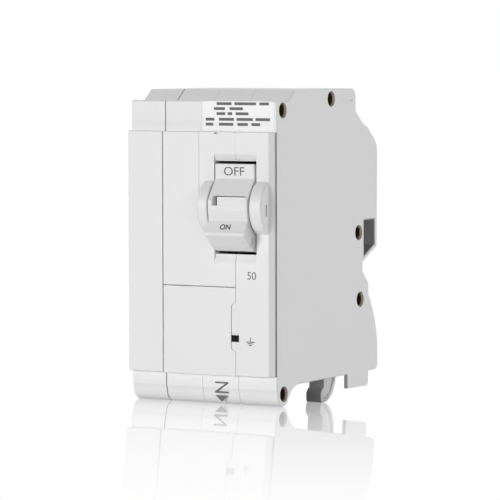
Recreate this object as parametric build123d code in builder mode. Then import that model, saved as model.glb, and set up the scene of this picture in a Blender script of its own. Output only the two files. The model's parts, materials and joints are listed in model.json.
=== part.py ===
from build123d import *
import os

# Two-pole plug-on ground fault circuit breaker, millimetres.
# Profile coordinates: depth runs back from the front strip plane, height runs up from the
# underside of the toe. Every sketch is drawn in them, on a plane that carries them to the
# part's frame, whose origin is the bottom centre of the bounding box.

# ---- driving dimensions ----
pole_pitch = 25.4
width = 2 * pole_pitch
half = width / 2
case_height = 95.2
case_depth = 66.3
lobe_reach = 8.6
hook_drop = 3.6
wall = 1.6
side_wall = 1.5
face_raise = 1.9
seam_left = -13.2
seam_mid = -0.4
seam_right = 12.2
open_seam = 0.38
plate_gap = 0.3
tight_seam = 0.1
fit = 0.05
rivet_radius = 2.15
pole_x = {"a": -13.0, "b": 12.4}

handle_axis = (2.4, 60.0)
handle_pin_radius = 1.5
handle_x = (5.4, 19.0)
opening_x = (4.9, 19.5)
boss_x = (1.4, 23.6)
boss_radius = 9.07
boss_rounding = 0.7
rim_lip = 0.25
link_top = (7.4, 66.5)
link_low = (24.2, 59.1)
cradle_axis = (9.0, 44.0)
spring_anchor = (34.0, 72.0)
link_x = (11.7, 13.1)
ears_x = ((9.9, 11.3), (13.5, 14.9))
crossbar_axis = (20.0, 52.0)
crossbar_radius = 4.3
crossbar_end = 17.5
trip_axis = (27.0, 38.0)
trip_radius = 2.4
spring_x = 16.6
toroid_centre = (-8.0, 14.5)
solenoid_x = -6.2
solenoid_height = 32.0
arc_plate_count = 5
rivets = ((3.8, 89.1), (34.7, 92.1), (53.0, 50.0), (54.0, 29.0), (4.2, 3.8))

shift_depth = -(case_depth - lobe_reach) / 2
shift_height = hook_drop
made = []


def side(x):
    """Plane across the width at x: sketch axes are depth and height."""
    return Plane(origin=(x, shift_depth, shift_height), x_dir=(0, 1, 0), z_dir=(1, 0, 0))


def front(depth):
    """Plane facing forward at a depth: sketch axes are x and height, extrusions go forward."""
    return Plane(origin=(0, depth + shift_depth, shift_height), x_dir=(1, 0, 0), z_dir=(0, -1, 0))


def level(height):
    """Horizontal plane at a height: sketch axes are x and depth."""
    return Plane(origin=(0, shift_depth, height + shift_height), x_dir=(1, 0, 0), z_dir=(0, 0, 1))


def keep(builder, name):
    """Label a finished piece and remember it for export."""
    builder.part.label = name
    made.append((name, builder.part))


def slab(x0, x1, depths, heights, mode=Mode.ADD):
    """Rectangular block between two x, two depths and two heights."""
    with BuildSketch(side(x0)) as outline:
        with Locations(((depths[0] + depths[1]) / 2, (heights[0] + heights[1]) / 2)):
            Rectangle(depths[1] - depths[0], heights[1] - heights[0])
    extrude(outline.sketch, amount=x1 - x0, mode=mode)


def plate(x0, x1, points, mode=Mode.ADD):
    """Prism across the width from a side outline."""
    with BuildSketch(side(x0)) as outline:
        with BuildLine():
            Polyline(*points, close=True)
        make_face()
    extrude(outline.sketch, amount=x1 - x0, mode=mode)


def rod(x0, x1, centre, radius, mode=Mode.ADD):
    """Round bar along the width."""
    with BuildSketch(side(x0)) as outline:
        with Locations(centre):
            Circle(radius)
    extrude(outline.sketch, amount=x1 - x0, mode=mode)


def upright(height0, height1, centre, radius, mode=Mode.ADD):
    """Round bar along the height, centre given as (x, depth)."""
    with BuildSketch(level(height0)) as outline:
        with Locations(centre):
            Circle(radius)
    extrude(outline.sketch, amount=height1 - height0, mode=mode)


def lengthwise(depth0, depth1, centre, radius, mode=Mode.ADD):
    """Round bar along the depth, centre given as (x, height)."""
    with BuildSketch(front(depth1)) as outline:
        with Locations(centre):
            Circle(radius)
    extrude(outline.sketch, amount=depth1 - depth0, mode=mode)


def hull(x0, x1, first, second):
    """Plate that wraps two circles, each (centre, radius)."""
    with BuildSketch(side(x0)) as outline:
        for centre, radius in (first, second):
            with Locations(centre):
                Circle(radius)
        make_hull()
    extrude(outline.sketch, amount=x1 - x0)


def drum(x0, x1, centre, radius, rounding):
    """Round bar along the width from x0 to x1, with a rounded rim at x1."""
    start = Vector(x0, centre[0] + shift_depth, centre[1] + shift_height)
    length = x1 - x0
    flat_end = length - rounding if length > 0 else length + rounding
    bend = (flat_end + (length - flat_end) * 0.7071, radius - rounding * 0.2929)
    lip = rim_lip if length > 0 else -rim_lip
    with BuildSketch(Plane(origin=start, x_dir=(1, 0, 0), z_dir=(0, -1, 0))) as outline:
        with BuildLine() as edge:
            Polyline((flat_end, radius), (lip, radius), (0, radius - rim_lip), (0, 0), (length, 0),
                     (length, radius - rounding))
            ThreePointArc((length, radius - rounding), bend, (flat_end, radius))
        make_face(edge.edges())
    revolve(outline.sketch, axis=Axis(start, (1, 0, 0)))


# ---- case shells ----
def case_outline():
    """Side profile of the case, drawn in the open sketch."""
    with BuildLine() as outline:
        Polyline((0.4, 3.8), (0, 5.2), (0, 92), (7.3, 92), (11.4, case_height), (48.9, case_height))
        ThreePointArc((48.9, case_height), (50.3, 94.6), (50.9, 93.2))
        Polyline((50.9, 93.2), (50.9, 88.6), (55.9, 84.4), (59.9, 82.8), (64.2, 79.0))
        ThreePointArc((64.2, 79.0), (65.6, 76.8), (66.0, 73.9))
        Polyline((66.0, 73.9), (65.7, 45.1), (55.9, 40.5), (55.9, 37.8), (59.9, 33.9), (60, 30.5))
        ThreePointArc((60, 30.5), (64.1, 22.6), (66.1, 15.1))
        Line((66.1, 15.1), (case_depth, 8.0))
        ThreePointArc((case_depth, 8.0), (65.69, 6.51), (64.2, 5.9))
        Line((64.2, 5.9), (14.3, 5.9))
        ThreePointArc((14.3, 5.9), (9.0, 4.0), (6.64, 0.886))
        ThreePointArc((6.64, 0.886), (4.2, 0), (0.4, 3.8))
    make_face(outline.edges())


def cavity_outline():
    """The case profile pulled in by the wall, square at the front."""
    with BuildLine() as outline:
        Polyline((wall, 8), (wall, 90.4), (7.9, 90.4), (12, case_height - wall), (48.4, case_height - wall),
                 (49.3, 92.6), (49.3, 87.9), (55.1, 82.9), (59.1, 81.3), (63.2, 77.6), (64.4, 73.8),
                 (64.1, 46.1), (54.3, 41.5), (54.3, 37.1), (58.3, 33.2), (58.4, 30.1), (62.5, 22.1),
                 (64.5, 15), (64.6, 7.5), (13.6, 7.5), (10, 7.0), (wall, 7.0), close=True)
    make_face(outline.edges())


window = ((56.2, 54.1), (64.1, 54.1), (64.1, 45.7), (56.2, 42.0))
jaw_slot = ((52.5, 67.0), (36.2, 44.3))
load_slot = (23.6, 31.6)
neutral_x = 6.2
neutral_slot = (14.8, 22.6)
indicator_x = (10.6, 13.4)
indicator_height = (16.6, 31.2)
pocket_x = (9.2, 14.8)
pocket_depth = (-1.6, -0.7)
pocket_height = (9.5, 38.8)
slide_length = 21.9
flag_height = (19.5, 21.5)
plate_height = (9.2, 36.1)
face_height = (9.2, 82.7)
bevel_start, bevel_end = 23.6, 24.9
closed_top = (76.0, 82.3)
closed_middle = (36.1, 56.0)
window_floor = 17.2


def raised_face(x0, x1):
    """Raised front panel, with its bevel where it reaches the right side."""
    with BuildSketch(level(face_height[0])) as outline:
        with BuildLine():
            if x1 > bevel_end:
                FilletPolyline((x0, 0.2), (x0, -face_raise), (bevel_start, -face_raise),
                               (bevel_end, -0.5), (bevel_end, 0.2), radius=0.15, close=True)
            else:
                Polyline((x0, 0.2), (x0, -face_raise), (x1, -face_raise), (x1, 0.2), close=True)
        make_face()
    extrude(outline.sketch, amount=face_height[1] - face_height[0])


def near(shape, axis, depth, height=None, x=None):
    """Edges along an axis whose middle lies at the given depth, height and x."""
    found = shape.edges().filter_by(axis)
    wanted = ((Axis.Y, depth, shift_depth), (Axis.Z, height, shift_height), (Axis.X, x, 0))
    for along, value, shift in wanted:
        if value is not None:
            found = found.filter_by_position(along, value + shift - 0.02, value + shift + 0.02)
    return found


def handle_gap(x0, x1):
    """Opening for the handle: shallow sloped recesses lead to thin lips, relieved behind."""
    plate(x0, x1, ((-3, 76.6), (-face_raise, 76.1), (-0.9, 73.9), (0.4, 74.7), (3, 75.2), (12, 75.2),
                   (12, 44.6), (3, 44.6), (0.4, 45.4), (-0.9, 45.9), (-face_raise, 43.4), (-3, 42.9)),
          mode=Mode.SUBTRACT)


def shell(name, x0, x1, cavity, detail):
    """One moulded shell: outer prism, hollow, raised face, rivet columns and its own details."""
    inner0, inner1 = cavity
    with BuildPart() as piece:
        with BuildSketch(side(x0)):
            case_outline()
        extrude(amount=x1 - x0)
        for depth, height, radius in ((0, 92, 0.6), (11.4, case_height, 0.8)):
            fillet(near(piece, Axis.X, depth, height), radius)
        outer = [edge for end in (x0, x1) if abs(end) == half
                 for edge in piece.edges().filter_by_position(Axis.X, end - 0.01, end + 0.01)]
        if outer:
            fillet(outer, 0.5)
        raised_face(x0, x1)
        for height in face_height:
            fillet(near(piece, Axis.X, -face_raise, height), 0.35)
        if x1 == half:
            slab(bevel_end - 0.04, half - 0.12, (-0.3, 3.0), (face_height[0] + 0.1, face_height[1] - 0.1),
                 mode=Mode.SUBTRACT)
        with BuildSketch(side(inner0)):
            cavity_outline()
        extrude(amount=inner1 - inner0, mode=Mode.SUBTRACT)
        for depth, height in rivets:
            rod(inner0, inner1, (depth, height), 2.9)
        detail()
        for depth, height in rivets:
            rod(x0, x1, (depth, height), rivet_radius + fit, mode=Mode.SUBTRACT)
            for end in (x0, x1):
                if abs(end) == half:
                    rod(end - 1.3, end + 1.3, (depth, height), 2.4, mode=Mode.SUBTRACT)
        for x in pole_x.values():
            if x0 < x + 3 and x1 > x - 3:
                slab(x - 3.1, x + 3.1, *jaw_slot, mode=Mode.SUBTRACT)
                slab(x - 2.4, x + 2.4, load_slot, (5, 8), mode=Mode.SUBTRACT)
                slab(x - 1.65, x + 1.65, (50.95, 56.05), (5, 8), mode=Mode.SUBTRACT)
    keep(piece, name)


def rear_tongue(x0, x1):
    """Strip of the perimeter that stands behind the rear top step."""
    slab(x0, x1, (50.6, 52.4), (88.2, 93.4))


def bearing(x0, x1, centre, bore, radius):
    """Boss with a bore for a shaft end; the bore stops short of the outside."""
    rod(x0, x1, centre, radius)
    rod(x0, x1, centre, bore, mode=Mode.SUBTRACT)


def left_cover_detail():
    inside = -half + side_wall
    rear_tongue(-half + 0.8, seam_left - open_seam / 2)
    bearing(inside, inside + 3.5, crossbar_axis, 1.55, 3.2)
    bearing(inside, inside + 3.5, trip_axis, 1.05, 2.6)
    for post in ((10, 12), (43, 12), (10, 44)):
        rod(inside, -22.6, post, 1.6)
        rod(-22.6, -21.0, post, 1.0)


def left_center_detail():
    rear_tongue(seam_left + open_seam / 2, seam_mid - tight_seam / 2)
    lower_recess(seam_left + open_seam / 2, seam_mid)
    slab(seam_mid - 0.1, seam_mid, (-face_raise, 0.1), closed_middle)
    for centre, radius in ((crossbar_axis, 4.8), (trip_axis, 2.9)):
        rod(seam_mid - 3, seam_mid, centre, radius, mode=Mode.SUBTRACT)


def lower_recess(x0, x1):
    """The raised face is left out where the lower front plate sits."""
    slab(x0, x1, (-face_raise - 1, 0), (0, plate_height[1]), mode=Mode.SUBTRACT)


def indicator_gap(x0, x1):
    """Slot that shows the trip flag, with rounded ends, and the pocket its slide runs in."""
    slab(max(x0, pocket_x[0]), min(x1, pocket_x[1]), pocket_depth, pocket_height, mode=Mode.SUBTRACT)
    with BuildSketch(front(-1.0)) as outline:
        with Locations((sum(indicator_x) / 2, sum(indicator_height) / 2)):
            SlotOverall(indicator_height[1] - indicator_height[0], indicator_x[1] - indicator_x[0],
                        rotation=90)
        with Locations(((x0 + x1) / 2, sum(indicator_height) / 2)):
            Rectangle(x1 - x0, 40, mode=Mode.INTERSECT)
    extrude(outline.sketch, amount=2, mode=Mode.SUBTRACT)


def right_center_detail():
    web = seam_mid + side_wall
    rear_tongue(seam_mid + tight_seam / 2, seam_right - tight_seam / 2)
    lower_recess(seam_mid, seam_right)
    handle_gap(opening_x[0], seam_right + 1)
    indicator_gap(indicator_x[0] - 2, seam_right + 1)
    slab(seam_right - 0.1, seam_right, (-face_raise, 0.1), closed_top)
    slab(seam_mid, seam_mid + 0.1, (-face_raise, 0.1), closed_middle)
    drum(opening_x[0], boss_x[0], handle_axis, boss_radius, boss_rounding)
    rod(opening_x[0] - 2.2, opening_x[0], handle_axis, handle_pin_radius + fit, mode=Mode.SUBTRACT)
    slab(opening_x[0], 6.7, (-3, -0.6), (81.9, 84), mode=Mode.SUBTRACT)
    for centre, radius in ((crossbar_axis, 4.8), (trip_axis, 2.9)):
        rod(seam_mid - 1, web + 1, centre, radius, mode=Mode.SUBTRACT)
    bearing(web, web + 2, cradle_axis, 1.25, 2.4)
    slab(neutral_x - 2.4, neutral_x + 2.4, neutral_slot, (5, 8), mode=Mode.SUBTRACT)


def right_cover_detail():
    inside = half - side_wall
    rear_tongue(seam_right + tight_seam / 2, half - 0.8)
    handle_gap(seam_right - 1, opening_x[1])
    indicator_gap(seam_right - 1, indicator_x[1] + 2)
    slab(seam_right, seam_right + 0.1, (-face_raise, 0.1), closed_top)
    drum(opening_x[1], boss_x[1], handle_axis, boss_radius, boss_rounding)
    slab(boss_x[1] - 0.4, boss_x[1] + 1, (-3.45, -3.2), (57.6, 61.2), mode=Mode.SUBTRACT)
    slab(boss_x[1] - 1, inside, (0.6, 9), (53, 67))
    rod(opening_x[1], opening_x[1] + 2.2, handle_axis, handle_pin_radius + fit, mode=Mode.SUBTRACT)
    bearing(inside - 3.5, inside, crossbar_axis, 1.55, 3.2)
    bearing(inside - 3.5, inside, trip_axis, 1.05, 2.6)
    bearing(inside - 4.5, inside, spring_anchor, 1.25, 2.6)
    grown = ((54.9, 55.4), (65.0, 55.4), (65.0, 45.2), (54.9, 40.9))
    plate(window_floor, inside, grown)
    plate(window_floor + 1.0, half + 1, window, mode=Mode.SUBTRACT)
    with BuildSketch(side(24.2)) as tab:
        with BuildLine():
            Polyline((45.4, 6.4), (45.4, 1.6), (57.6, 1.4))
            ThreePointArc((57.6, 1.4), (58.9, 1.9), (59.4, 3.2))
            Polyline((59.4, 3.2), (59.4, 6.4), (45.4, 6.4))
        make_face()
    extrude(tab.sketch, amount=half - 24.2)
    plate(half - 0.3, half + 1, ((39.1, 91.3), (48.8, 91.3), (48.8, 91.7), (39.1, 91.7)),
          mode=Mode.SUBTRACT)


shell("left_cover", -half, seam_left - open_seam / 2,
      (-half + side_wall, seam_left - open_seam / 2), left_cover_detail)
shell("left_center_housing", seam_left + open_seam / 2, seam_mid - tight_seam / 2,
      (seam_left + open_seam / 2, seam_mid - side_wall), left_center_detail)
shell("right_center_housing", seam_mid + tight_seam / 2, seam_right - tight_seam / 2,
      (seam_mid + side_wall, seam_right - tight_seam / 2), right_center_detail)
shell("right_cover", seam_right + tight_seam / 2, half,
      (seam_right + tight_seam / 2, half - side_wall), right_cover_detail)

with BuildPart() as lower_front_plate:
    with BuildSketch(front(0)):
        x0, x1 = seam_left + open_seam / 2, seam_right - tight_seam / 2
        low, high = plate_height[0], plate_height[1] - plate_gap
        with Locations(((x0 + x1) / 2, (low + high) / 2)):
            Rectangle(x1 - x0, high - low)
    extrude(amount=face_raise)
    indicator_gap(indicator_x[0] - 2, seam_right + 1)
keep(lower_front_plate, "lower_front_plate")

with BuildPart() as rating_label:
    with BuildSketch(front(0)):
        with Locations((12.15, 87.45)):
            RectangleRounded(24.9, 8.7, 0.9)
    extrude(amount=0.12)
keep(rating_label, "rating_label")

with BuildPart() as case_rivets:
    end = half - 0.8
    for centre in rivets:
        rod(-end, end, centre, rivet_radius)
        rod(-end, -end + 0.5, centre, 2.35)
        rod(end - 0.5, end, centre, 2.35)
    for centre in rivets:
        rod(-half, half, centre, rivet_radius - 0.25, mode=Mode.SUBTRACT)
keep(case_rivets, "case_rivets")

# ---- rail hooks under the rear ----
web_recess = 0.6
for name, x in (("rail_hook_left", pole_x["a"]), ("rail_hook_right", pole_x["b"])):
    with BuildPart() as hook:
        with BuildSketch(side(x - 2.6)):
            with BuildLine():
                Line((49.3, 5.9), (49.2, 0.9))
                ThreePointArc((49.2, 0.9), (48.0, 0.3), (47.2, -0.9))
                Line((47.2, -0.9), (47.2, -2.6))
                ThreePointArc((47.2, -2.6), (47.5, -3.3), (48.3, -3.6))
                Line((48.3, -3.6), (50.2, -3.6))
                ThreePointArc((50.2, -3.6), (54.4, -1.6), (57.0, 2.4))
                Polyline((57.0, 2.4), (57.6, 5.9), (49.3, 5.9))
            make_face()
        extrude(amount=5.2)
        for x0 in (x - 2.6, x + 2.6 - web_recess):
            plate(x0, x0 + web_recess, ((50.6, 6.0), (50.5, 1.6), (48.4, -0.8), (48.4, -2.5), (50.4, -2.7),
                                        (53.8, -0.9), (56.1, 2.7), (56.7, 6.0)), mode=Mode.SUBTRACT)
        slab(x - 1.6, x + 1.6, (51, 56), (5.8, 9.0))
    keep(hook, name)

# ---- handle and its drive ----
finger_slot = (60.7, 63.6)
handle_rounds = ((-2.3, 68.7, 1.5), (-4.9, 65.2, 4), (-6.9, 62.2, 1.2), (-6.9, 59.3, 3), (-6.4, 56.3, 0.8),
                 (-6.9, 55.5, 0.8), (-4.8, 48.4, 1.5), (-2.4, 73.1, 0.4), (-2.3, 47.0, 0.5))
with BuildPart() as handle:
    with BuildSketch(side(handle_x[0])) as outline:
        with BuildLine():
            Polyline((-2.4, 73.1), (-2.3, 68.7), (-4.9, 65.2), (-6.9, 62.2), (-6.9, 59.3), (-6.4, 56.3),
                     (-6.9, 55.5), (-8.1, 53.17))
            ThreePointArc((-8.1, 53.17), (-8.6, 52.3), (-8.1, 51.43))
            Polyline((-8.1, 51.43), (-4.8, 48.4), (-2.3, 47.0), (-0.9, 46.9), (-0.7, 50), (-0.2, 57),
                     (-0.2, 63), (-0.7, 69), (-0.8, 73.1), (-2.4, 73.1))
        make_face()
        for depth, height, radius in handle_rounds:
            fillet(outline.vertices().sort_by_distance((depth, height))[0], radius)
    extrude(amount=handle_x[1] - handle_x[0])
    ends = [edge for x in handle_x for edge in handle.edges().filter_by_position(Axis.X, x - 0.01, x + 0.01)
            if edge.center().Y < shift_depth - 0.9]
    fillet(ends, 0.4)
    rod(*handle_x, handle_axis, 4.6)
    with BuildSketch(side(handle_x[0])):
        with Locations(handle_axis):
            Circle(13.6)
            Circle(12.2, mode=Mode.SUBTRACT)
        with BuildLine():
            Polyline(handle_axis, (-3.6, 44), (7.6, 44), close=True)
        make_face(mode=Mode.INTERSECT)
    extrude(amount=handle_x[1] - handle_x[0])
    for x0, x1 in ears_x:
        hull(x0, x1, (handle_axis, 4.6), (link_top, 2.2))
    slot_left, slot_right = handle_x[0] + 1.5, handle_x[1] - 0.8
    slab(slot_left, slot_right, (-12, -5.2), finger_slot, mode=Mode.SUBTRACT)
    slab(slot_left, slot_left + 0.9, (-12, -1.6), finger_slot, mode=Mode.SUBTRACT)
    slab(slot_left + 0.9, slot_right, (-12, -2.6), (finger_slot[1] - 0.35, finger_slot[1]),
         mode=Mode.SUBTRACT)
    slab(handle_x[1] - 0.35, handle_x[1] + 1, (-4.3, -3.5), (48.8, 51.2), mode=Mode.SUBTRACT)
    rod(handle_x[0] - 1, handle_x[1] + 1, handle_axis, handle_pin_radius, mode=Mode.SUBTRACT)
    rod(9, 16, link_top, 1.0, mode=Mode.SUBTRACT)
keep(handle, "handle")

with BuildPart() as handle_pin:
    rod(opening_x[0] - 2.0, opening_x[1] + 2.0, handle_axis, handle_pin_radius)
keep(handle_pin, "handle_pin")

with BuildPart() as upper_link_pin:
    rod(9.7, 15.1, link_top, 1.0)
keep(upper_link_pin, "upper_link_pin")

with BuildPart() as toggle_link:
    hull(*link_x, (link_top, 2.0), (link_low, 2.0))
    rod(*link_x, link_top, 1.0 + fit, mode=Mode.SUBTRACT)
    rod(*link_x, link_low, 1.2, mode=Mode.SUBTRACT)
keep(toggle_link, "toggle_link")

with BuildPart() as lower_link_pin:
    rod(9.7, 17.4, link_low, 1.0)
keep(lower_link_pin, "lower_link_pin")

with BuildPart() as contact_crossbar:
    rod(-crossbar_end, crossbar_end, crossbar_axis, crossbar_radius)
    for x0, x1 in ears_x:
        hull(x0, x1, (crossbar_axis, crossbar_radius), (link_low, 2.2))
    rod(-20, 20, crossbar_axis, 1.5, mode=Mode.SUBTRACT)
    rod(9, 18, link_low, 1.0, mode=Mode.SUBTRACT)
    for x in pole_x.values():
        slab(x - 1.5, x + 1.5, (21.6, 30), (50.8, 53.2), mode=Mode.SUBTRACT)
keep(contact_crossbar, "contact_crossbar")

with BuildPart() as crossbar_shaft:
    rod(-half + side_wall + 0.3, half - side_wall - 0.3, crossbar_axis, 1.5)
keep(crossbar_shaft, "crossbar_shaft")

# ---- current path: one node per pole for the larger pieces ----
for pole, x in pole_x.items():
    with BuildPart() as contact_arm:
        plate(x - 1.5, x + 1.5, ((21.6, 50.8), (21.6, 53.2), (46.3, 53.2), (46.4, 52.4), (44, 51.2)))
    keep(contact_arm, "contact_arm_" + pole)

    with BuildPart() as line_jaw:
        slab(x - 2.0, x + 2.0, (49.8, 50.8), (37.0, 43.0))
        for x0 in (x - 1.9, x + 0.9):
            plate(x0, x0 + 1.0, ((50.8, 37), (61, 37), (62.6, 38.2), (62.6, 41.8), (61, 43), (50.8, 43)))
    keep(line_jaw, "line_jaw_" + pole)

    with BuildPart() as load_jaw:
        slab(x - 2.0, x + 2.0, (24.0, 31.0), (12.8, 13.8))
        for x0 in (x - 1.9, x + 0.9):
            slab(x0, x0 + 1.0, (24.2, 31.0), (6.3, 12.8))
    keep(load_jaw, "load_jaw_" + pole)

    with BuildPart() as magnet_yoke:
        slab(x - 4.0, x + 4.0, (39.0, 40.2), (15.6, 28.0))
        for x0 in (x - 4.0, x + 2.8):
            slab(x0, x0 + 1.2, (36.4, 39.0), (20.0, 28.0))
        for x0 in (x - 5.4, x + 4.4):
            slab(x0, x0 + 1.0, (33.0, 40.2), (15.6, 19.2))
            slab(min(x0, x - 4.4), max(x0 + 1.0, x + 4.4), (39.0, 40.2), (15.6, 19.2))
            rod(x0 - 1, x0 + 2, (34.7, 17.4), 1.0 + fit, mode=Mode.SUBTRACT)
    keep(magnet_yoke, "magnet_yoke_" + pole)

    with BuildPart() as armature:
        slab(x - 4.0, x + 4.0, (34.2, 35.2), (17.4, 33.0))
        rod(x - 5.3, x + 5.3, (34.7, 17.4), 1.0)
    keep(armature, "armature_" + pole)

    with BuildPart() as braid:
        with BuildLine():
            route = FilletPolyline(*[(x + 3.2, depth + shift_depth, height + shift_height) for depth, height
                                     in ((25.0, 50.0), (31.0, 46.5), (38.0, 39.2), (40.4, 35.0))], radius=4)
        with BuildSketch(Plane(origin=route @ 0, z_dir=route % 0)):
            Circle(0.6)
        sweep(path=route)
    keep(braid, "braid_" + pole)

# ---- current path: small identical pieces of both poles share a node ----
with BuildPart() as moving_contacts:
    for x in pole_x.values():
        upright(53.2, 53.9, (x, 43.8), 1.9)
keep(moving_contacts, "moving_contacts")

with BuildPart() as stationary_contacts:
    for x in pole_x.values():
        upright(54.2, 55.4, (x, 43.8), 2.2)
keep(stationary_contacts, "stationary_contacts")

with BuildPart() as line_straps:
    for x in pole_x.values():
        plate(x - 2.3, x + 2.3, ((41, 55.4), (48.6, 55.4), (48.6, 37), (49.8, 37), (49.8, 56.6), (41, 56.6)))
keep(line_straps, "line_straps")

with BuildPart() as window_shield:
    plate(window_floor + 1.05, half - 0.1, ((56.25, 54.05), (64.05, 54.05), (64.05, 45.75), (56.25, 42.05)))
    plate(window_floor + 1.6, half, ((56.55, 53.75), (63.75, 53.75), (63.75, 45.9), (56.55, 42.5)),
          mode=Mode.SUBTRACT)
keep(window_shield, "window_shield")

with BuildPart() as jaw_springs:
    for x in pole_x.values():
        slab(x - 2.5, x + 2.5, (53.0, 57.0), (43.0, 43.6))
        for x0 in (x - 2.5, x + 1.9):
            slab(x0, x0 + 0.6, (53.0, 57.0), (38.2, 43.0))
keep(jaw_springs, "jaw_springs")

with BuildPart() as arc_plates:
    for x in pole_x.values():
        for step in range(arc_plate_count):
            height = 39.8 + 2.6 * step
            slab(x - 5.0, x + 5.0, (40.0, 48.3), (height, height + 1.0))
            slab(x - 2.2, x + 2.2, (39.0, 47.0), (height - 0.1, height + 1.1), mode=Mode.SUBTRACT)
keep(arc_plates, "arc_plates")

with BuildPart() as arc_sides:
    for x in pole_x.values():
        for x0 in (x - 6.0, x + 5.0):
            slab(x0, x0 + 1.0, (39.6, 48.4), (39.0, 52.0))
keep(arc_sides, "arc_sides")

with BuildPart() as load_straps:
    for x in pole_x.values():
        slab(x - 2.5, x + 2.5, (24.0, 42.2), (13.8, 15.0))
keep(load_straps, "load_straps")

with BuildPart() as bimetals:
    for x in pole_x.values():
        slab(x - 2.5, x + 2.5, (41.2, 42.2), (15.0, 36.0))
keep(bimetals, "bimetals")

with BuildPart() as neutral_jaw:
    slab(neutral_x - 2.0, neutral_x + 2.0, (15.0, 22.0), (12.0, 13.0))
    for x0 in (neutral_x - 1.9, neutral_x + 0.9):
        slab(x0, x0 + 1.0, (15.2, 22.0), (6.3, 12.0))
keep(neutral_jaw, "neutral_jaw")

# ---- trip bar, latch and indicator ----
with BuildPart() as trip_bar:
    rod(-crossbar_end, crossbar_end, trip_axis, trip_radius)
    plate(-7.4, -5.0, ((25.6, 38.0), (28.4, 38.0), (27.6, 30.6), (25.6, 30.6)))
    plate(5.2, 6.8, ((25.8, 38.0), (28.4, 38.0), (27.6, 43.0), (26.2, 43.0)))
    for x in pole_x.values():
        plate(x - 1.0, x + 1.0, ((27.0, 36.8), (36.6, 36.8), (36.6, 33.0), (37.4, 33.0), (37.4, 38.0),
                                 (27.0, 38.6)))
    rod(-20, 20, trip_axis, 1.0, mode=Mode.SUBTRACT)
keep(trip_bar, "trip_bar")

with BuildPart() as trip_bar_shaft:
    rod(-half + side_wall + 0.3, half - side_wall - 0.3, trip_axis, 1.0)
keep(trip_bar_shaft, "trip_bar_shaft")

with BuildPart() as latch_cradle:
    with BuildSketch(side(5.2)):
        with Locations(cradle_axis):
            Circle(2.8)
        with BuildLine():
            Polyline((9.0, 41.6), (24.9, 40.8), (24.9, 42.6), (20.0, 43.4), (9.0, 46.6), close=True)
        make_face()
    extrude(amount=1.6)
    rod(5, 7, cradle_axis, 1.3, mode=Mode.SUBTRACT)
keep(latch_cradle, "latch_cradle")

with BuildPart() as cradle_pin:
    rod(seam_mid + side_wall, 7.6, cradle_axis, 1.25)
    rod(7.2, 7.8, cradle_axis, 2.2)
keep(cradle_pin, "cradle_pin")

with BuildPart() as indicator_slide:
    low = pocket_height[0] + 0.2
    slab(pocket_x[0] + 0.2, pocket_x[1] - 0.2, (pocket_depth[0] + 0.1, pocket_depth[1] - 0.1),
         (low, low + slide_length))
keep(indicator_slide, "indicator_slide")

with BuildPart() as trip_flag:
    slab(indicator_x[0] + 0.15, indicator_x[1] - 0.15, (-1.8, pocket_depth[0] + 0.1), flag_height)
keep(trip_flag, "trip_flag")

# ---- springs ----
with BuildPart() as spring_post:
    rod(15.8, half - side_wall, spring_anchor, 1.25)
keep(spring_post, "spring_post")


def coil(start, end, turns, radius, wire, x):
    """Helical spring from one side-view point to another, drawn at x."""
    low = Vector(x, start[0] + shift_depth, start[1] + shift_height)
    high = Vector(x, end[0] + shift_depth, end[1] + shift_height)
    length = (high - low).length
    with BuildLine():
        turns_line = Helix(length / turns, length, radius, center=low, direction=high - low)
    with BuildSketch(Plane(origin=turns_line @ 0, z_dir=turns_line % 0)) as section:
        Circle(wire)
    sweep(section.sketch, path=turns_line, is_frenet=True)


with BuildPart() as opening_spring:
    coil((25.5, 60.9), (32.9, 70.4), 9, 1.6, 0.3, spring_x)
keep(opening_spring, "opening_spring")

# ---- ground fault unit in the left pole ----
with BuildPart() as circuit_board:
    slab(-22.6, -21.4, (6.0, 46.0), (9.5, 46.5))
    rod(-23, -21, trip_axis, 3.0, mode=Mode.SUBTRACT)
    for post in ((10, 12), (43, 12), (10, 44)):
        rod(-23, -21, post, 1.05, mode=Mode.SUBTRACT)
keep(circuit_board, "circuit_board")

for name, low, radius in (("sensing_toroid", 12.4, 5.0), ("grounding_toroid", 18.2, 5.0)):
    with BuildPart() as toroid:
        upright(low, low + 4.6, toroid_centre, radius)
        upright(low - 1, low + 6, toroid_centre, 2.6, mode=Mode.SUBTRACT)
        fillet(toroid.edges().filter_by(GeomType.CIRCLE), 0.8)
    keep(toroid, name)

with BuildPart() as solenoid_frame:
    slab(solenoid_x - 3.8, solenoid_x + 3.8, (5.0, 21.0), (26.6, 27.6))
    for depth in (5.0, 20.0):
        slab(solenoid_x - 3.8, solenoid_x + 3.8, (depth, depth + 1.0), (27.6, 35.6))
    lengthwise(19, 22, (solenoid_x, solenoid_height), 1.3, mode=Mode.SUBTRACT)
keep(solenoid_frame, "solenoid_frame")

with BuildPart() as solenoid_bobbin:
    lengthwise(6.0, 20.0, (solenoid_x, solenoid_height), 2.0)
    lengthwise(6.0, 7.0, (solenoid_x, solenoid_height), 3.7)
    lengthwise(19.0, 20.0, (solenoid_x, solenoid_height), 3.7)
    lengthwise(5.0, 21.0, (solenoid_x, solenoid_height), 1.3, mode=Mode.SUBTRACT)
keep(solenoid_bobbin, "solenoid_bobbin")

with BuildPart() as solenoid_coil:
    lengthwise(7.0, 19.0, (solenoid_x, solenoid_height), 3.5)
    lengthwise(6.0, 20.0, (solenoid_x, solenoid_height), 2.0, mode=Mode.SUBTRACT)
keep(solenoid_coil, "solenoid_coil")

with BuildPart() as solenoid_plunger:
    lengthwise(11.0, 25.2, (solenoid_x, solenoid_height), 1.25)
    lengthwise(23.6, 24.2, (solenoid_x, solenoid_height), 2.2)
keep(solenoid_plunger, "solenoid_plunger")

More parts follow.
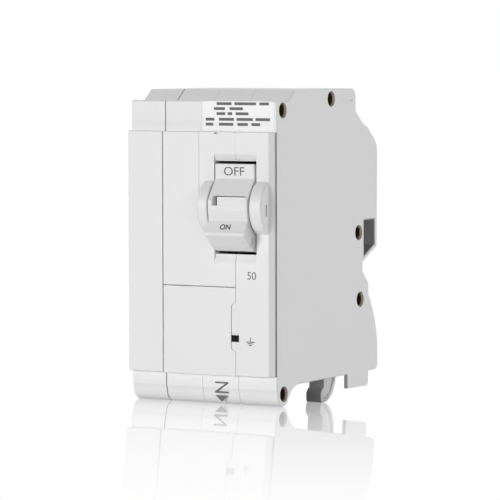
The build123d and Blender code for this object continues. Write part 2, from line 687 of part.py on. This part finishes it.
with BuildPart() as plunger_spring:
    with BuildLine():
        turns_line = Helix(0.9, 2.0, 1.75, direction=(0, 1, 0),
                           center=(solenoid_x, 21.3 + shift_depth, solenoid_height + shift_height))
    with BuildSketch(Plane(origin=turns_line @ 0, z_dir=turns_line % 0)):
        Circle(0.2)
    sweep(path=turns_line, is_frenet=True)
keep(plunger_spring, "plunger_spring")

with BuildPart() as capacitor:
    upright(36.6, 45.4, (-18.2, 15.0), 3.1)
    fillet(capacitor.edges().filter_by(GeomType.CIRCLE), 0.5)
keep(capacitor, "capacitor")

with BuildPart() as varistor:
    rod(-21.4, -18.0, (14.0, 20.0), 4.6)
    fillet(varistor.edges().filter_by(GeomType.CIRCLE), 0.9)
keep(varistor, "varistor")

with BuildPart() as control_chip:
    slab(-21.4, -19.8, (30.0, 37.0), (22.0, 31.0))
keep(control_chip, "control_chip")

with BuildPart() as resistors:
    for row in range(4):
        slab(-21.4, -20.6, (22.0, 25.2), (12.0 + 2.6 * row, 13.6 + 2.6 * row))
keep(resistors, "resistors")

with BuildPart() as test_contact_block:
    slab(14.8, 20.0, (7.0, 11.4), (86.0, 90.2))
keep(test_contact_block, "test_contact_block")

with BuildPart() as test_contact_leaf:
    slab(15.4, 19.0, (8.0, 8.4), (70.0, 86.0))
keep(test_contact_leaf, "test_contact_leaf")

os.makedirs("parts", exist_ok=True)
for name, solid in made:
    export_step(solid, "parts/" + name + ".step")
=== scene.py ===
import json
import math

import bpy
from mathutils import Matrix, Vector


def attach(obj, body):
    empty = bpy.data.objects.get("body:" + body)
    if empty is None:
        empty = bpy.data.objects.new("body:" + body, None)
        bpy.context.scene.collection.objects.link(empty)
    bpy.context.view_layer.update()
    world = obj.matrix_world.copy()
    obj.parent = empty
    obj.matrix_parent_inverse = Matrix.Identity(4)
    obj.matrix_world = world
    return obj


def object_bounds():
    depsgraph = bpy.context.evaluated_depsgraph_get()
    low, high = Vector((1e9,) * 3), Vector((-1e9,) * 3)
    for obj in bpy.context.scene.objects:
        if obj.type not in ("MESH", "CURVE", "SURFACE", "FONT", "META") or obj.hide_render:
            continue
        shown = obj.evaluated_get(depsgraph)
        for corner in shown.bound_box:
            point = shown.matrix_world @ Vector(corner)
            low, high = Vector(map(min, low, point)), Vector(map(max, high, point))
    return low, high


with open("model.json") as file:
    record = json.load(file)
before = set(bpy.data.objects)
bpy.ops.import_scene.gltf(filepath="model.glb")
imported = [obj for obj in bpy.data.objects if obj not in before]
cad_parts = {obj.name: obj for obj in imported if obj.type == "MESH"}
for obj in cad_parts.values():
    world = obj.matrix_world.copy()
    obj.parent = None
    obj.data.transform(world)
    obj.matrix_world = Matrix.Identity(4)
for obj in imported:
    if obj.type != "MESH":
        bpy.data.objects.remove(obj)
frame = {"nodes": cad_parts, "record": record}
cad_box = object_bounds()
nodes = frame["nodes"]

MM = 0.001

# The CAD profile's own zero (front strip plane, underside of the toe) in the row frame.
LOW, HIGH = Vector(cad_box[0]), Vector(cad_box[1])
HANDLE_REACH = 8.6 * MM
HOOK_DROP = 3.6 * MM
FRONT_Y = LOW.y + HANDLE_REACH
TOE_Z = LOW.z + HOOK_DROP


def at(x, depth, height):
    """Point from millimetres across, behind the front strip plane and above the toe."""
    return Vector((x * MM, FRONT_Y + depth * MM, TOE_Z + height * MM))


# ---- camera ----
CAMERA_AZIMUTH = math.radians(29.424)
CAMERA_ELEVATION = math.radians(3.618)
CAMERA_ROLL = math.radians(-0.125)
CAMERA_PLACE = (475.42, -814.25, 106.35)
SENSOR_WIDTH = 36
FOCAL_RATIO = 3120.76 / 500


def add_camera():
    azimuth, elevation, roll = CAMERA_AZIMUTH, CAMERA_ELEVATION, CAMERA_ROLL
    back = Vector((math.sin(azimuth) * math.cos(elevation), -math.cos(azimuth) * math.cos(elevation),
                   math.sin(elevation)))
    right = Vector((math.cos(azimuth), math.sin(azimuth), 0))
    up = back.cross(right)
    right_rolled = right * math.cos(roll) + up * math.sin(roll)
    up_rolled = up * math.cos(roll) - right * math.sin(roll)
    data = bpy.data.cameras.new("camera")
    data.sensor_width = SENSOR_WIDTH
    data.lens = SENSOR_WIDTH * FOCAL_RATIO
    data.clip_start = 0.01
    data.clip_end = 20
    camera = bpy.data.objects.new("camera", data)
    turn = Matrix((right_rolled, up_rolled, back)).transposed().to_4x4()
    camera.matrix_world = Matrix.Translation(at(*CAMERA_PLACE)) @ turn
    bpy.context.scene.collection.objects.link(camera)
    bpy.context.scene.camera = camera


add_camera()


# ---- materials ----
GRAIN_HEIGHT = 0.05 * MM


def node_material(name, colour, roughness, metallic=0.0, mottle=0.03, mottle_scale=60.0,
                  grain=0.0, grain_scale=2500.0, specular=0.5):
    """Principled material with slow colour variation and fine surface grain."""
    material = bpy.data.materials.new(name)
    material.use_nodes = True
    tree = material.node_tree
    shader = tree.nodes["Principled BSDF"]
    shader.inputs["Metallic"].default_value = metallic
    shader.inputs["Specular IOR Level"].default_value = specular
    place = tree.nodes.new("ShaderNodeTexCoord")
    noise = tree.nodes.new("ShaderNodeTexNoise")
    noise.inputs["Scale"].default_value = mottle_scale
    noise.inputs["Detail"].default_value = 4
    tree.links.new(place.outputs["Object"], noise.inputs["Vector"])
    ramp = tree.nodes.new("ShaderNodeValToRGB")
    ramp.color_ramp.elements[0].position = 0.3
    ramp.color_ramp.elements[1].position = 0.7
    ramp.color_ramp.elements[0].color = [c * (1 - mottle) for c in colour] + [1]
    ramp.color_ramp.elements[1].color = [min(1, c * (1 + mottle)) for c in colour] + [1]
    tree.links.new(noise.outputs["Fac"], ramp.inputs["Fac"])
    tree.links.new(ramp.outputs["Color"], shader.inputs["Base Color"])
    rough = tree.nodes.new("ShaderNodeMapRange")
    rough.inputs["To Min"].default_value = roughness * 0.9
    rough.inputs["To Max"].default_value = min(1, roughness * 1.1)
    tree.links.new(noise.outputs["Fac"], rough.inputs["Value"])
    tree.links.new(rough.outputs["Result"], shader.inputs["Roughness"])
    if grain:
        fine = tree.nodes.new("ShaderNodeTexNoise")
        fine.inputs["Scale"].default_value = grain_scale
        fine.inputs["Detail"].default_value = 3
        tree.links.new(place.outputs["Object"], fine.inputs["Vector"])
        bump = tree.nodes.new("ShaderNodeBump")
        bump.inputs["Strength"].default_value = grain
        bump.inputs["Distance"].default_value = GRAIN_HEIGHT
        tree.links.new(fine.outputs["Fac"], bump.inputs["Height"])
        tree.links.new(bump.outputs["Normal"], shader.inputs["Normal"])
    return material


materials = {
    "case_plastic": node_material("case_plastic", (0.80, 0.80, 0.80), 0.42, grain=0.25, mottle=0.008),
    "label": node_material("label", (0.92, 0.92, 0.92), 0.5, grain=0.1, mottle=0.01),
    "rivet_brass": node_material("rivet_brass", (0.20, 0.14, 0.05), 0.35, metallic=0.9, mottle=0.2,
                                 mottle_scale=900),
    "handle_plastic": node_material("handle_plastic", (0.80, 0.80, 0.80), 0.35, grain=0.15, mottle=0.008),
    # hook_plastic: the hooks are the case's white plastic; the lighter colour here is painted light that
    # brightens their side rims
    "hook_plastic": node_material("hook_plastic", (0.93, 0.93, 0.93), 0.45, grain=0.2, mottle=0.01,
                                  specular=0.08),
    # shield_grey: painted shade; this grey liner in the side window stands in for the shade deep in the white
    # case's pocket
    "shield_grey": node_material("shield_grey", (0.38, 0.38, 0.38), 0.4, grain=0.2, mottle=0.08),
    "print_grey": node_material("print_grey", (0.10, 0.10, 0.10), 0.6, mottle=0.15, mottle_scale=900),
    "print_dark": node_material("print_dark", (0.03, 0.03, 0.03), 0.6, mottle=0.15, mottle_scale=900),
    "flag_black": node_material("flag_black", (0.005, 0.005, 0.005), 0.6, grain=0.2, mottle=0.1,
                                specular=0.08),
    "slide_plastic": node_material("slide_plastic", (0.8, 0.8, 0.8), 0.5, grain=0.2),
    "pin_steel": node_material("pin_steel", (0.55, 0.55, 0.56), 0.3, metallic=1, mottle=0.1,
                               mottle_scale=400),
    "spring_steel": node_material("spring_steel", (0.5, 0.5, 0.52), 0.25, metallic=1, mottle=0.1,
                                  mottle_scale=400),
    "copper": node_material("copper", (0.72, 0.36, 0.22), 0.32, metallic=1, mottle=0.12, mottle_scale=300),
    "silver": node_material("silver", (0.8, 0.8, 0.78), 0.25, metallic=1, mottle=0.08, mottle_scale=500),
    "bimetal": node_material("bimetal", (0.6, 0.53, 0.44), 0.35, metallic=1, mottle=0.1, mottle_scale=300),
    "dark_moulding": node_material("dark_moulding", (0.03, 0.03, 0.035), 0.45, grain=0.3, mottle=0.1),
    "fibre": node_material("fibre", (0.35, 0.16, 0.1), 0.8, grain=0.6, mottle=0.15, mottle_scale=500),
    "board": node_material("board", (0.02, 0.16, 0.06), 0.35, grain=0.2, mottle=0.1, mottle_scale=250),
    "toroid_case": node_material("toroid_case", (0.75, 0.55, 0.08), 0.5, grain=0.3, mottle=0.06),
    "bobbin": node_material("bobbin", (0.8, 0.78, 0.7), 0.5, grain=0.2),
    "magnet_wire": node_material("magnet_wire", (0.42, 0.14, 0.04), 0.3, metallic=0.8, mottle=0.2,
                                 mottle_scale=1200),
    "component_blue": node_material("component_blue", (0.03, 0.09, 0.4), 0.25, mottle=0.08),
    "capacitor_sleeve": node_material("capacitor_sleeve", (0.02, 0.02, 0.06), 0.3, mottle=0.1),
}
slot_of = {part["node"]: part["material_slot"] for part in frame["record"]["subparts"]}
for name, obj in nodes.items():
    obj.data.materials.clear()
    obj.data.materials.append(materials[slot_of[name]])


# ---- printed marks ----
MARK_LIFT = 0.02 * MM
MARK_THICKNESS = 0.01 * MM
GLYPH_EXTRUDE = 0.001
RIGHTWARD = Vector((1, 0, 0))
UPWARD = Vector((0, 0, 1))


def frame_at(place, across, up):
    """Matrix whose x runs across, y runs up and z points out of the marked surface."""
    out = across.cross(up).normalized()
    turn = Matrix((across.normalized(), up.normalized(), out)).transposed().to_4x4()
    return Matrix.Translation(place + out * MARK_LIFT) @ turn


def add_mark(name, mesh, matrix, body, material):
    mesh.transform(matrix)
    mesh.materials.clear()
    mesh.materials.append(materials[material])
    mark = bpy.data.objects.new(name, mesh)
    bpy.context.scene.collection.objects.link(mark)
    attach(mark, body)
    return mark


def add_text(name, words, place, width, height, up=UPWARD, across=RIGHTWARD, body="case",
             material="print_grey", weight=0.0):
    """Flat lettering centred at a place and stretched to a width and a height in millimetres."""
    curve = bpy.data.curves.new(name, "FONT")
    curve.body = words
    curve.offset = weight
    curve.extrude = GLYPH_EXTRUDE
    holder = bpy.data.objects.new(name + "_curve", curve)
    bpy.context.scene.collection.objects.link(holder)
    mesh = bpy.data.meshes.new_from_object(holder.evaluated_get(bpy.context.evaluated_depsgraph_get()))
    bpy.data.objects.remove(holder)
    xs, ys = [v.co.x for v in mesh.vertices], [v.co.y for v in mesh.vertices]
    middle = Vector(((min(xs) + max(xs)) / 2, (min(ys) + max(ys)) / 2, 0))
    scale = Matrix.Diagonal((width * MM / (max(xs) - min(xs)), height * MM / (max(ys) - min(ys)),
                             MARK_THICKNESS / (2 * GLYPH_EXTRUDE), 1))
    mesh.transform(scale @ Matrix.Translation(-middle))
    add_mark(name, mesh, frame_at(place, across, up), body, material)


def add_shape(name, outlines, place, up=UPWARD, across=RIGHTWARD, body="case", material="print_grey"):
    """Flat filled outlines, given in millimetres about a place."""
    verts, faces = [], []
    for outline in outlines:
        first, count = len(verts), len(outline)
        for lift in (0, MARK_THICKNESS):
            verts += [(x * MM, y * MM, lift) for x, y in outline]
        faces.append([first + i for i in reversed(range(count))])
        faces.append([first + count + i for i in range(count)])
        faces += [(first + i, first + (i + 1) % count, first + count + (i + 1) % count, first + count + i)
                  for i in range(count)]
    mesh = bpy.data.meshes.new(name)
    mesh.from_pydata(verts, [], faces)
    add_mark(name, mesh, frame_at(place, across, up), body, material)


def bar(x0, x1, y0, y1):
    """Rectangle as an anticlockwise outline."""
    return [(x0, y0), (x1, y0), (x1, y1), (x0, y1)]


LABEL_CENTRE = (12.15, 87.45)
LABEL_DEPTH = -0.12
ROW_LOW, ROW_HIGH = -0.35, 0.5


def add_label_rows():
    """Rows of plain bars that stand in for the label's print: left end, height, run and gap lengths."""
    rows = ((4.8, 91.0, (5.2, 1.0, 7.4, 1.2, 3.2)),
            (3.9, 89.5, (3.8, 1.6, 4.6)),
            (4.8, 88.0, (3.0, 0.8, 1.6, 1.2, 4.4)),
            (1.0, 86.3, (3.0, 1.6, 5.2, 0.9, 5.6, 0.9, 5.0)),
            (1.0, 84.8, (2.6, 2.0, 5.0, 1.4, 3.6, 1.2, 3.0)))
    outlines = []
    for x, height, runs in rows:
        for number, run in enumerate(runs):
            if number % 2 == 0:
                outlines.append(bar(x - LABEL_CENTRE[0], x + run - LABEL_CENTRE[0],
                                    height - LABEL_CENTRE[1] + ROW_LOW, height - LABEL_CENTRE[1] + ROW_HIGH))
            x += run
    add_shape("label_rows", outlines, at(LABEL_CENTRE[0], LABEL_DEPTH, LABEL_CENTRE[1]))


FACE_DEPTH = -1.9
BOSS_END = 23.6
REARWARD = Vector((0, 1, 0))
# Slopes of the handle where the words stand, from the profile of its section.
FLANGE_UP = Vector((0, -0.1, 4.4))
LOBE_UP = Vector((0, 1.2, 2.33))

add_text("mark_off", "OFF", at(12.1, -2.36, 70.9), 7.0, 2.6, up=FLANGE_UP, body="handle")
add_text("mark_on", "ON", at(11.9, -7.46, 54.40), 3.6, 1.75, up=LOBE_UP, body="handle", material="print_dark",
         weight=0.03)
add_text("mark_rating", "50", at(17.8, FACE_DEPTH, 39.6), 3.0, 2.3)
# Dark bar over the slit in the boss's end face: painted shade that stands in for the shade inside the slit
add_shape("boss_slit_painted_shade", [bar(-0.22, 0.22, -1.78, 1.78)], at(BOSS_END, -3.325, 59.4), across=REARWARD,
          material="print_dark")
add_text("mark_neutral", "N", at(6.25, 0, 5.3), 3.4, 4.6, up=Vector((-1, 0, 0)), across=UPWARD)
add_shape("mark_arrow", [[(-2.2, 0.95), (0, -0.95), (2.2, 0.95)]], at(6.25, 0.1, 1.9))
add_label_rows()
earth_bars = [bar(-0.13, 0.13, 0.0, 1.25), bar(-1.5, 1.5, -0.25, 0.0), bar(-1.0, 1.0, -0.75, -0.5),
              bar(-0.5, 0.5, -1.25, -1.0)]
add_shape("mark_earth", earth_bars, at(17.3, FACE_DEPTH, 19.8), material="print_dark")

# ---- studio ----
FLOOR_FRONT = (4.2, 0.0)
FLOOR_REAR = (48.5, -3.6)
FLOOR_REACH = 6000.0
FLOOR_GAP = 0.02
# The gloss fades along this direction, from the part's front foot towards the viewer's side.
FADE_DIRECTION = (0.491, -0.871, 0)
FADE_START, FADE_END = 0.02, 0.44
GLOSS_NEAR, GLOSS_FAR = 0.64, 0.03
FLAG_HEIGHT = -4.2


def add_floor():
    """White glossy sheet that touches the toe in front and the rail hooks behind."""
    slope = (FLOOR_REAR[1] - FLOOR_FRONT[1]) / (FLOOR_REAR[0] - FLOOR_FRONT[0])
    corners = [at(x * FLOOR_REACH, y * FLOOR_REACH, (y * FLOOR_REACH - FLOOR_FRONT[0]) * slope - FLOOR_GAP)
               for x, y in ((-1, -1), (1, -1), (1, 1), (-1, 1))]
    mesh = bpy.data.meshes.new("floor")
    mesh.from_pydata(corners, [], [(0, 1, 2, 3)])
    floor = bpy.data.objects.new("floor", mesh)
    bpy.context.scene.collection.objects.link(floor)
    material = bpy.data.materials.new("floor_sheet")
    material.use_nodes = True
    tree = material.node_tree
    tree.nodes.clear()
    white = tree.nodes.new("ShaderNodeEmission")
    gloss = tree.nodes.new("ShaderNodeBsdfGlossy")
    gloss.inputs["Color"].default_value = (1, 1, 1, 1)
    gloss.inputs["Roughness"].default_value = 0.02
    blend = tree.nodes.new("ShaderNodeMixShader")
    # The sheet is glossy beside the part and turns matt towards its front edge.
    place = tree.nodes.new("ShaderNodeTexCoord")
    forward = tree.nodes.new("ShaderNodeVectorMath")
    forward.operation = "DOT_PRODUCT"
    forward.inputs[1].default_value = FADE_DIRECTION
    fade = tree.nodes.new("ShaderNodeMapRange")
    fade.inputs["From Min"].default_value = FADE_START
    fade.inputs["From Max"].default_value = FADE_END
    fade.inputs["To Min"].default_value = GLOSS_NEAR
    fade.inputs["To Max"].default_value = GLOSS_FAR
    tree.links.new(place.outputs["Object"], forward.inputs[0])
    tree.links.new(forward.outputs["Value"], fade.inputs["Value"])
    tree.links.new(fade.outputs["Result"], blend.inputs["Fac"])
    output = tree.nodes.new("ShaderNodeOutputMaterial")
    tree.links.new(white.outputs["Emission"], blend.inputs[1])
    tree.links.new(gloss.outputs["BSDF"], blend.inputs[2])
    tree.links.new(blend.outputs["Shader"], output.inputs["Surface"])
    floor.data.materials.append(material)
    floor.visible_diffuse = False
    floor.visible_shadow = False


def add_flag(name, corners):
    """Dark card that shades the rail hooks; cameras and glossy surfaces don't see it."""
    mesh = bpy.data.meshes.new(name)
    mesh.from_pydata(corners, [], [(0, 1, 2, 3)])
    card = bpy.data.objects.new(name, mesh)
    bpy.context.scene.collection.objects.link(card)
    mesh.materials.append(materials["dark_moulding"])
    card.visible_camera = False
    card.visible_glossy = False


def add_sun(name, toward, strength, spread):
    """Soft distant lamp that shines from the given direction."""
    data = bpy.data.lights.new(name, "SUN")
    data.energy = strength
    data.angle = math.radians(spread)
    lamp = bpy.data.objects.new(name, data)
    lamp.rotation_euler = Vector(toward).to_track_quat("Z", "Y").to_euler()
    bpy.context.scene.collection.objects.link(lamp)


SEEN_STRENGTH = 1.0
FILL_STRENGTH = 0.12


def add_world():
    """White surroundings: full strength where they are seen, weaker as fill light."""
    world = bpy.data.worlds.new("world")
    world.use_nodes = True
    tree = world.node_tree
    background = tree.nodes["Background"]
    background.inputs["Color"].default_value = (1, 1, 1, 1)
    rays = tree.nodes.new("ShaderNodeLightPath")
    strength = tree.nodes.new("ShaderNodeMapRange")
    strength.inputs["To Min"].default_value = SEEN_STRENGTH
    strength.inputs["To Max"].default_value = FILL_STRENGTH
    tree.links.new(rays.outputs["Is Diffuse Ray"], strength.inputs["Value"])
    tree.links.new(strength.outputs["Result"], background.inputs["Strength"])
    bpy.context.scene.world = world


bpy.context.scene.view_settings.view_transform = "Standard"
add_floor()
add_flag("flag_below", [at(x, depth, FLAG_HEIGHT) for x, depth in ((-27, 9), (27, 9), (27, 60), (-27, 60))])
add_flag("flag_front", [at(x, 40, height) for x, height in ((-23, FLAG_HEIGHT), (23, FLAG_HEIGHT), (23, 5.7),
                                                            (-23, 5.7))])
add_sun("key", (-0.3, -1.0, 0.2), 1.84, 22)
add_sun("right_front", (1.0, -0.8, 0.0), 0.66, 40)
add_sun("low", (-0.1, -0.45, -1.0), 0.7, 30)
add_sun("top_rear", (0.0, 1.0, 1.0), 0.7, 40)
add_sun("side", (1.0, 0.8, -0.12), 1.28, 50)
add_sun("left", (-1.0, 0.6, 0.2), 1.4, 50)
add_world()
